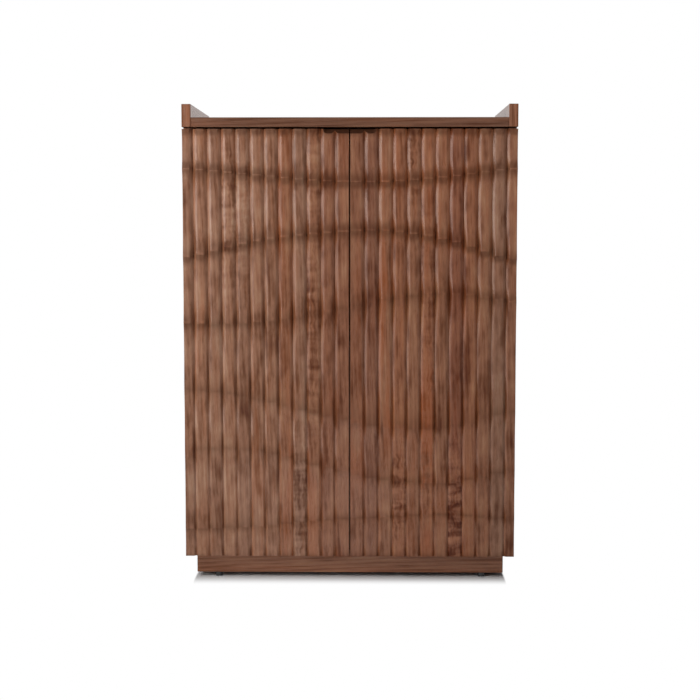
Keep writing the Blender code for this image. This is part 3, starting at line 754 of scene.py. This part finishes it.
    # The deeper of hollow and bevel, with the arris between them softened
    squareLine = calc(tree, "ADD", face, given["Square ease"])
    grooveDepth = calc(tree, "MULTIPLY", given["Groove depth"], lessLowDown(given["Low groove"]))
    grooveLine = calc(tree, "ADD", given["Front"], grooveDepth)
    edgeLine = blendNumbers(tree, groove, squareLine, grooveLine)
    bevel = calc(tree, "DIVIDE", fromEdge, bevelWidth)
    bevel = calc(tree, "MULTIPLY_ADD", calc(tree, "SUBTRACT", face, edgeLine), bevel, edgeLine)
    soft = calc(tree, "MULTIPLY", groove, lessLowDown(given["Low softness"]))
    soft = calc(tree, "MULTIPLY_ADD", soft, given["Softness"], given["Least softness"])
    carved = calc(tree, "SMOOTH_MAX", face, bevel, soft)
    isFront = calc(tree, "LESS_THAN", spot[1], 0.0)
    placeY = blendNumbers(tree, isFront, given["Back"], carved)

    # Each stave has its own piece of a plank, its tint and its figure, which fades between crests
    reach = carving["plankSpread"]
    randomValues = {0: tuple(-most for most in reach), 1: reach, "ID": stave, "Seed": given["Seed"]}
    randomPlank = put(tree, "FunctionNodeRandomValue", randomValues, data_type="FLOAT_VECTOR").outputs[0]
    home = put(tree, "ShaderNodeCombineXYZ", {0: upper[0], 1: given["Front"]}).outputs[0]
    plank = put(tree, "ShaderNodeVectorMath", {0: randomPlank, 1: home}, operation="SUBTRACT").outputs[0]
    stock = store(stock, "plank", "FLOAT_VECTOR", "FACE", plank)
    tint = fromGuide(stored(tree, "tint", "FLOAT_VECTOR"), first, "FLOAT_VECTOR")
    stock = store(stock, "tint", "FLOAT_VECTOR", "FACE", tint)
    for figure in ("curl", "ember"):
        stock = store(stock, figure, "FLOAT", "POINT", betweenCrests(figure))
    stock = store(stock, "crestShade", "FLOAT", "POINT", crestShade)

    target = put(tree, "ShaderNodeCombineXYZ", {0: placeX, 1: placeY, 2: height}).outputs[0]
    shaped = put(tree, "GeometryNodeSetPosition", {"Geometry": stock, "Position": target}).outputs[0]
    endTree(tree, shaped, given["Wood"])
    return tree


def pullOutline(lift):
    half = carving["pullWidth"] / 2
    corner = carving["pullCorner"]
    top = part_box("left_stave_02")[1].z
    low = top - carving["pullDepth"] + lift
    over = low + carving["pullHeight"] * carving["pullDepth"]
    steps = carving["pullCornerSteps"]
    outline = [(-half, over)]
    for sign in (-1, 1):
        turns = range(steps + 1) if sign < 0 else range(steps, -1, -1)
        for step in turns:
            angle = math.pi / 2 * step / steps
            x = sign * (half - corner + corner * math.cos(angle))
            outline.append((x, low + corner - corner * math.sin(angle)))
    outline.append((half, over))
    return outline


def pullCutter(wood):
    # the finger pull: a scoop whose floor rises from its lip at the front to the staves' back
    front, inward = cadBox[0].y, carving["pullReach"] * carving["pullDepth"]
    shape = bmesh.new()
    rings = []
    for along in (-inward, inward):
        lift = along * carving["pullSlope"]
        rings.append([shape.verts.new((x, front + along, z)) for x, z in pullOutline(lift)])
    for ring, following in zip(rings, rings[1:]):
        for index in range(len(ring)):
            after = (index + 1) % len(ring)
            shape.faces.new((ring[index], ring[after], following[after], following[index]))
    shape.faces.new(rings[0])
    shape.faces.new(rings[-1])
    bmesh.ops.recalc_face_normals(shape, faces=shape.faces)
    return makeCutter("pullCutter", shape, wood)


def carveStaves():
    wood = walnut("walnut_staves_carved", "z", carved=True)
    tree = carveTree()
    cutter = pullCutter(walnut("walnut_finger_pull", "z", carving["pullPlank"], carving["pullPaintedShade"]))
    low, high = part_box("left_stave_02")
    count = carving["stavesPerDoor"]
    values = {
        **carving["sizes"],
        "Staves": count,
        "Rows": carving["rowsPerHollow"],
        "Columns": carving["columns"],
        "Front": low.y,
        "Back": high.y,
        "Hollow skew": math.log(1 / 2) / math.log(carving["hollowBottomShare"]),
        "Wood": wood,
    }
    for side, seed in carving["seeds"].items():
        host = staveGuide(side)
        runTree(host, tree, {**values, "Seed": seed})
        cutAway(host, cutter, "fingerPull").material_mode = "TRANSFER"
        staves = settle(host, f"{side}Staves", f"{side}_door")
        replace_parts(staves, *[f"{side}_stave_{number:02d}" for number in range(1, count + 1)])
        print(f"{side} door: staves carved, {len(staves.data.polygons)} faces")
    bpy.data.objects.remove(cutter, do_unlink=True)


carveStaves()


# Screws, and the soft pads that the doors close on

fixings = {
    "plateFaceIn": 0.0293,       # a hinge plate's face, from the case's outer side
    "plateScrewSetback": 0.023,  # from the arm's back end
    "plateScrewSpread": 0.018,   # above and below the plate's middle
    "plateScrewRadius": 0.0036,
    "cupScrewSpread": 0.026,
    "cupScrewRadius": 0.0031,
    "railScrewReach": 0.125,     # from a rail's middle to its end screws
    "railScrewRadius": 0.0034,
    "backScrewInset": 0.0050,
    "backScrewSpacing": 0.16,
    "backScrewRadius": 0.0036,
    "backScrewHeight": 0.0009,
    "backScrewSunk": 0.0003,     # its top below the back panel's face
    "recessSpare": 0.0005,       # how much wider and deeper a screw's recess is than its head
    "padRadius": 0.0045,
    "padInset": 0.014,           # from a door's meeting edge
    "padHeight": 0.0030,
    "screwSeat": 0.0002,         # how far a cup screw is let into its cup
    "headShares": {"Height": 0.46, "Slot length": 1.15, "Slot width": 0.24, "Slot depth": 0.28},
    "headSides": 24,
    "headRings": 12,
    "recessSides": 20,
    "seeds": {"left": 3, "right": 7, "case": 5, "back": 9},
}


def headTree():
    asked = {"Guide": "Geometry", "Sides": "Int", "Crossed": "Bool", "Seed": "Int", "Finish": "Material"}
    asked.update(dict.fromkeys(fixings["headShares"], "Float"))
    tree, given = shapingTree("driveHeads", asked, "Heads")

    # A ball with its lower half pressed flat is the dome
    rounds = {"Segments": given["Sides"], "Rings": fixings["headRings"]}
    ball = put(tree, "GeometryNodeMeshUVSphere", rounds).outputs["Mesh"]
    spot = split(tree, put(tree, "GeometryNodeInputPosition").outputs[0])
    rise = calc(tree, "MULTIPLY", calc(tree, "MAXIMUM", spot[2], 0.0), given["Height"])
    pressed = put(tree, "ShaderNodeCombineXYZ", {0: spot[0], 1: spot[1], 2: rise}).outputs[0]
    dome = put(tree, "GeometryNodeSetPosition", {"Geometry": ball, "Position": pressed}).outputs[0]

    # The driver's cross, cut from the top
    depth = calc(tree, "MULTIPLY", given["Slot depth"], 2.0)
    lift = put(tree, "ShaderNodeCombineXYZ", {2: given["Height"]}).outputs[0]
    cut = put(tree, "GeometryNodeMeshBoolean", {"Mesh 1": dome}, operation="DIFFERENCE")
    for long, wide in (("Slot length", "Slot width"), ("Slot width", "Slot length")):
        size = put(tree, "ShaderNodeCombineXYZ", {0: given[long], 1: given[wide], 2: depth}).outputs[0]
        bar = put(tree, "GeometryNodeMeshCube", {"Size": size}).outputs["Mesh"]
        bar = put(tree, "GeometryNodeTransform", {"Geometry": bar, "Translation": lift}).outputs[0]
        tree.links.new(bar, cut.inputs["Mesh 2"])
    choice = {"Switch": given["Crossed"], "False": dome, "True": cut.outputs["Mesh"]}
    head = put(tree, "GeometryNodeSwitch", choice, input_type="GEOMETRY").outputs[0]

    # Each head faces its own way and is turned at random
    facing, radius = stored(tree, "facing", "FLOAT_VECTOR"), stored(tree, "headRadius")
    upright = put(tree, "FunctionNodeAlignRotationToVector", {"Vector": facing}, axis="Z").outputs[0]
    turns = {2: 0.0, 3: math.pi / 2, "Seed": given["Seed"]}
    angle = put(tree, "FunctionNodeRandomValue", turns, data_type="FLOAT").outputs[1]
    twist = put(tree, "FunctionNodeAxisAngleToRotation", {"Axis": (0, 0, 1), "Angle": angle}).outputs[0]
    turning = {"Rotation": upright, "Rotate By": twist}
    turned = put(tree, "FunctionNodeRotateRotation", turning, rotation_space="LOCAL").outputs[0]
    placing = {"Points": given["Guide"], "Instance": head, "Rotation": turned, "Scale": radius}
    heads = put(tree, "GeometryNodeInstanceOnPoints", placing).outputs[0]
    endTree(tree, heads, given["Finish"])
    return tree


def middleOf(node):
    low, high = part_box(node)
    return (low + high) / 2


def hingeScrews(side, sign):
    onCase, onDoor = [], []
    for level in ("lower", "middle", "upper"):
        low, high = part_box(f"{side}_hinge_arm_{level}")
        x = sign * (cadBox[1].x - fixings["plateFaceIn"])
        for away in (-fixings["plateScrewSpread"], fixings["plateScrewSpread"]):
            spot = (x, high.y - fixings["plateScrewSetback"], (low.z + high.z) / 2 + away)
            onCase.append((spot, (-sign, 0, 0), fixings["plateScrewRadius"]))
        cup = middleOf(f"{side}_hinge_cup_{level}")
        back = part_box(f"{side}_hinge_cup_{level}")[1].y
        for away in (-fixings["cupScrewSpread"], fixings["cupScrewSpread"]):
            spot = (cup.x, back - fixings["screwSeat"], cup.z + away)
            onDoor.append((spot, (0, 1, 0), fixings["cupScrewRadius"]))
    return onCase, onDoor


def railScrews():
    found = []
    for number in (1, 2, 3):
        middle = middleOf(f"stemware_rail_{number}")
        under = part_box(f"stemware_rail_{number}")[0].z
        for along in (-fixings["railScrewReach"], 0.0, fixings["railScrewReach"]):
            found.append(((middle.x, middle.y + along, under), (0, 0, -1), fixings["railScrewRadius"]))
    return found


def backScrews():
    # down both edges, and along the boards that meet the panel
    low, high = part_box("back_panel")
    inset = fixings["backScrewInset"]
    corner = 2 * inset
    y = high.y - fixings["backScrewHeight"] - fixings["backScrewSunk"]
    spots = []
    steps = round((high.z - low.z) / fixings["backScrewSpacing"])
    for step in range(steps + 1):
        z = low.z + corner + (high.z - low.z - 2 * corner) * step / steps
        spots += [(low.x + inset, y, z), (high.x - inset, y, z)]
    across = round((high.x - low.x) / fixings["backScrewSpacing"])
    for board in ("bottom_panel", "fixed_shelf"):
        for step in range(1, across):
            spots.append((low.x + (high.x - low.x) * step / across, y, middleOf(board).z))
    return [(spot, (0, 1, 0), fixings["backScrewRadius"]) for spot in spots]


def sinkBackScrews(spots):
    # the back panel once more, with a round recess for each screw
    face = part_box("back_panel")[1].y
    shape = bmesh.new()
    for (x, y, z), _, radius in spots:
        wide, deep = radius + fixings["recessSpare"], face - y + fixings["recessSpare"]
        turn = Matrix.Translation((x, face, z)) @ Matrix.Rotation(math.pi / 2, 4, "X")
        sizes = {"radius1": wide, "radius2": wide, "depth": 2 * deep, "segments": fixings["recessSides"]}
        bmesh.ops.create_cone(shape, cap_ends=True, matrix=turn, **sizes)
    cutter = makeCutter("recessCutter", shape, nodes["back_panel"].material_slots[0].material)
    board = addObject("backBoardBlank", nodes["back_panel"].data.copy())
    cutAway(board, cutter, "screwRecesses")
    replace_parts(settle(board, "backBoard", "case", 0.0), "back_panel")
    bpy.data.objects.remove(cutter, do_unlink=True)


def doorPads(side, sign):
    low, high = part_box(f"{side}_door_panel")
    edge = high.x if sign < 0 else low.x
    x = edge + sign * fixings["padInset"]
    spots = [(x, high.y, middleOf(board).z) for board in ("bottom_panel", "fixed_shelf")]
    return [(spot, (0, 1, 0), fixings["padRadius"]) for spot in spots]


def driveHeads(tree, name, body, finish, spots, seed, crossed=True, height=None):
    points = [spot for spot, _, _ in spots]
    fields = {
        "facing": ("FLOAT_VECTOR", [facing for _, facing, _ in spots]),
        "headRadius": ("FLOAT", [radius for _, _, radius in spots]),
    }
    host = pointHost(f"{name}Guide", points, fields)
    values = {**fixings["headShares"], "Sides": fixings["headSides"], "Finish": finish}
    values.update({"Crossed": crossed, "Seed": seed})
    if height:
        values["Height"] = height
    runTree(host, tree, values)
    return settle(host, name, body)


def fitFixings():
    tree = headTree()
    seeds = fixings["seeds"]
    padShare = fixings["padHeight"] / fixings["padRadius"]
    caseScrews = railScrews()
    for side, sign in (("left", -1), ("right", 1)):
        onCase, onDoor = hingeScrews(side, sign)
        caseScrews += onCase
        body, seed = f"{side}_door", seeds[side]
        driveHeads(tree, f"{side}CupScrews", body, steel, onDoor, seed)
        pads = doorPads(side, sign)
        driveHeads(tree, f"{side}DoorPads", body, nylon, pads, seed, False, padShare)
    driveHeads(tree, "caseScrews", "case", steel, caseScrews, seeds["case"])
    spots = backScrews()
    flat = fixings["backScrewHeight"] / fixings["backScrewRadius"]
    driveHeads(tree, "backScrews", "case", steel, spots, seeds["back"], height=flat)
    sinkBackScrews(spots)
    print("screws and door pads fitted")


fitFixings()


# Studio: pale floor, white surround and soft lamps, the strongest from the left

studio = {
    "floorSize": 9.0,
    "floorColour": (0.80, 0.80, 0.80),
    "surroundLight": 0.12,
    "clearFrom": 0.0,        # between these distances from the plinth the floor turns clear white
    "clearTo": 0.10,
    "clearSideways": 16.0,   # how much sooner beyond the plinth's ends
}

# Soft lamps: place, what it is aimed at, size of its face, power, and whether polish mirrors it
lamps = {
    "keySoftbox": ((-1.22, -1.10, 1.30), (0.0, -0.22, 0.85), 0.9, 14.6, True),
    "lowSoftbox": ((-1.62, -1.18, 0.38), (-0.25, -0.22, 0.38), 0.7, 5.3, True),
    "fillSoftbox": ((0.60, -1.20, 1.48), (0.25, -0.22, 1.20), 0.6, 4.5, False),
    "floorSoftbox": ((-0.10, -0.72, 0.03), (0.0, -0.20, 0.06), 0.5, 0.6, True),
    "backSoftbox": ((0.60, 2.60, 3.30), (0.0, 0.22, 0.70), 1.4, 70.0, True),
}


def softbox(name, place, aim, size, power, mirrored):
    lamp = bpy.data.lights.new(name, "AREA")
    lamp.shape = "SQUARE"
    lamp.size = size
    lamp.energy = power
    box = addObject(name, lamp)
    box.location = place
    box.rotation_euler = (Vector(aim) - Vector(place)).to_track_quat("-Z", "Y").to_euler()
    box.visible_camera = False
    box.visible_glossy = mirrored


def seenByEye(tree):
    # one where a ray comes from the camera, also by way of polish or glass, and zero for the rest
    ray = put(tree, "ShaderNodeLightPath").outputs
    seen = calc(tree, "MAXIMUM", ray["Is Camera Ray"], ray["Is Glossy Ray"])
    return calc(tree, "MAXIMUM", seen, ray["Is Transmission Ray"])


def surround():
    world = bpy.data.worlds.new("surround")
    world.use_nodes = True
    tree = world.node_tree
    tree.nodes.clear()
    light = put(tree, "ShaderNodeBackground", {"Strength": studio["surroundLight"]}).outputs[0]
    white = put(tree, "ShaderNodeBackground", {"Strength": 1.0}).outputs[0]
    for background in (light, white):
        background.node.inputs["Color"].default_value = (1.0, 1.0, 1.0, 1.0)
    mixed = put(tree, "ShaderNodeMixShader", {0: seenByEye(tree), 1: light, 2: white}).outputs[0]
    put(tree, "ShaderNodeOutputWorld", {"Surface": mixed})
    bpy.context.scene.world = world


def layFloor():
    half = studio["floorSize"] / 2
    corners = [(-half, -half, 0), (half, -half, 0), (half, half, 0), (-half, half, 0)]
    mesh = bpy.data.meshes.new("floor")
    mesh.from_pydata(corners, [], [(0, 1, 2, 3)])
    floor = addObject("floor", mesh)

    # It is painted near the plinth, where the shadow falls, and clear white beyond
    material, tree = newMaterial("floor_paint")
    place = split(tree, put(tree, "ShaderNodeTexCoord").outputs["Object"])
    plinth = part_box("plinth_front")
    front, end, back = plinth[0].y, plinth[1].x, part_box("plinth_back")[1].y
    beyondX = calc(tree, "SUBTRACT", calc(tree, "ABSOLUTE", place[0]), end)
    beyondX = calc(tree, "MULTIPLY", calc(tree, "MAXIMUM", beyondX, 0.0), studio["clearSideways"])
    ahead, behind = calc(tree, "SUBTRACT", front, place[1]), calc(tree, "SUBTRACT", place[1], back)
    beyondY = calc(tree, "MAXIMUM", calc(tree, "MAXIMUM", ahead, behind), 0.0)
    squares = [calc(tree, "POWER", beyond, 2.0) for beyond in (beyondX, beyondY)]
    away = calc(tree, "SQRT", calc(tree, "ADD", *squares))
    clear = span(tree, away, studio["clearFrom"], studio["clearTo"])
    clear = calc(tree, "MULTIPLY", clear, seenByEye(tree))
    paint = put(tree, "ShaderNodeBsdfDiffuse", {"Color": (*studio["floorColour"], 1.0)}).outputs[0]
    white = put(tree, "ShaderNodeEmission", {"Color": (1.0, 1.0, 1.0, 1.0), "Strength": 1.0}).outputs[0]
    mixed = put(tree, "ShaderNodeMixShader", {0: clear, 1: paint, 2: white}).outputs[0]
    put(tree, "ShaderNodeOutputMaterial", {"Surface": mixed})
    floor.data.materials.append(material)


surround()
layFloor()
for name, settings in lamps.items():
    softbox(name, *settings)
bpy.context.scene.view_settings.view_transform = "Standard"
print("studio lit")
